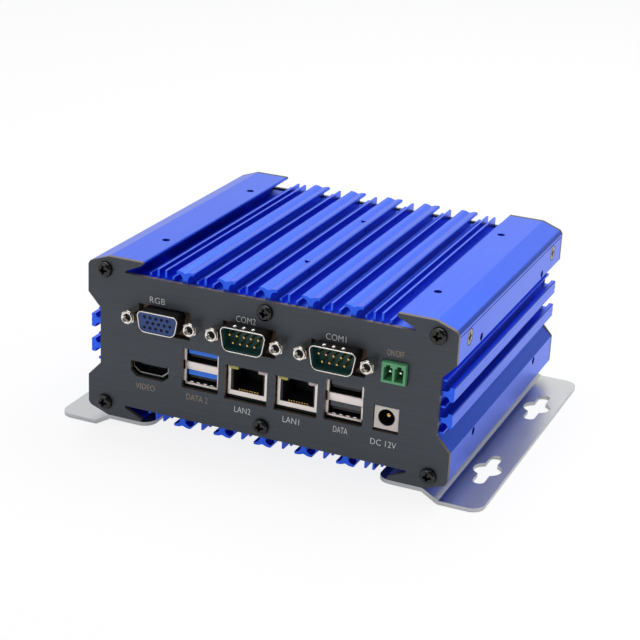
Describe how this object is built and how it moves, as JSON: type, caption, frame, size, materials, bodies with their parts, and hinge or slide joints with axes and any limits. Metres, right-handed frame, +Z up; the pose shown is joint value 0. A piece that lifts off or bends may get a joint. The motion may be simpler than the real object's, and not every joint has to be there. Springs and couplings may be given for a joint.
{
  "type": "fanless industrial computer",
  "caption": "Fanless industrial computer: finned blue aluminium case on joggled keyhole brackets, with video, serial, network, stacked data, power and switch connectors on a grey front panel.",
  "frame": {"origin": "middle of the whole object seen from above, on the surface that the brackets stand on", "axes": "+Z up, +X to the right seen from the connector panel, -Y out of the connector panel"},
  "size_m": [0.1678, 0.1338, 0.0676],
  "materials": {
    "blue_anodised": "blue anodised extrusion, satin",
    "grey_anodised": "dark grey brushed and anodised sheet",
    "bracket_sheet": "pale satin sheet",
    "black_screws": "black oxide",
    "bright_screws": "nickel plated",
    "nickel": "nickel plated sheet",
    "gold": "gold plated contacts",
    "board_green": "solder mask on glass laminate",
    "black_plastic": "moulded, matt",
    "blue_plastic": "moulded, matt",
    "dark_green_plastic": "moulded, matt",
    "green_plastic": "moulded, satin",
    "pale_plastic": "moulded, satin",
    "aluminium_plain": "milled",
    "thermal_pad": "soft filled silicone",
    "lens": "clear moulded light pipes",
    "silicon": "laminate and bare die"
  },
  "bodies": {
    "root": {"base_tray": "blue_anodised", "board_link": "black_plastic", "board_screws": "bright_screws", "board_standoffs": "gold", "bracket_screws": "black_screws", "capacitors": "aluminium_plain", "coin_cell": "nickel", "coin_cell_holder": "black_plastic", "flat_video_port_shell": "nickel", "flat_video_port_tongue": "black_plastic", "front_panel": "grey_anodised", "front_panel_screws": "black_screws", "heat_block": "aluminium_plain", "heat_pads": "thermal_pad", "main_board": "board_green", "memory_module": "board_green", "memory_socket": "black_plastic", "mounting_bracket_left": "bracket_sheet", "mounting_bracket_right": "bracket_sheet", "network_jack_1_body": "black_plastic", "network_jack_1_contacts": "gold", "network_jack_1_lights": "lens", "network_jack_1_shield": "nickel", "network_jack_2_body": "black_plastic", "network_jack_2_contacts": "gold", "network_jack_2_lights": "lens", "network_jack_2_shield": "nickel", "power_coils": "black_plastic", "power_jack_body": "pale_plastic", "power_jack_pin": "gold", "processor_package": "silicon", "rear_panel": "grey_anodised", "rear_panel_screws": "black_screws", "serial_port_1_insulator": "dark_green_plastic", "serial_port_1_jackscrews": "nickel", "serial_port_1_pins": "gold", "serial_port_1_shell": "nickel", "serial_port_2_insulator": "dark_green_plastic", "serial_port_2_jackscrews": "nickel", "serial_port_2_pins": "gold", "serial_port_2_shell": "nickel", "side_screws": "bright_screws", "stacked_port_a_shell": "nickel", "stacked_port_a_tongues": "blue_plastic", "stacked_port_b_shell": "nickel", "stacked_port_b_tongues": "black_plastic", "storage_module": "board_green", "storage_post": "gold", "storage_socket": "black_plastic", "switch_terminal_body": "green_plastic", "switch_terminal_pins": "nickel", "top_cover": "blue_anodised", "upper_board": "board_green", "upper_board_standoffs": "gold", "video_port_insulator": "blue_plastic", "video_port_jackscrews": "nickel", "video_port_shell": "nickel"}
  },
  "joints": []
}
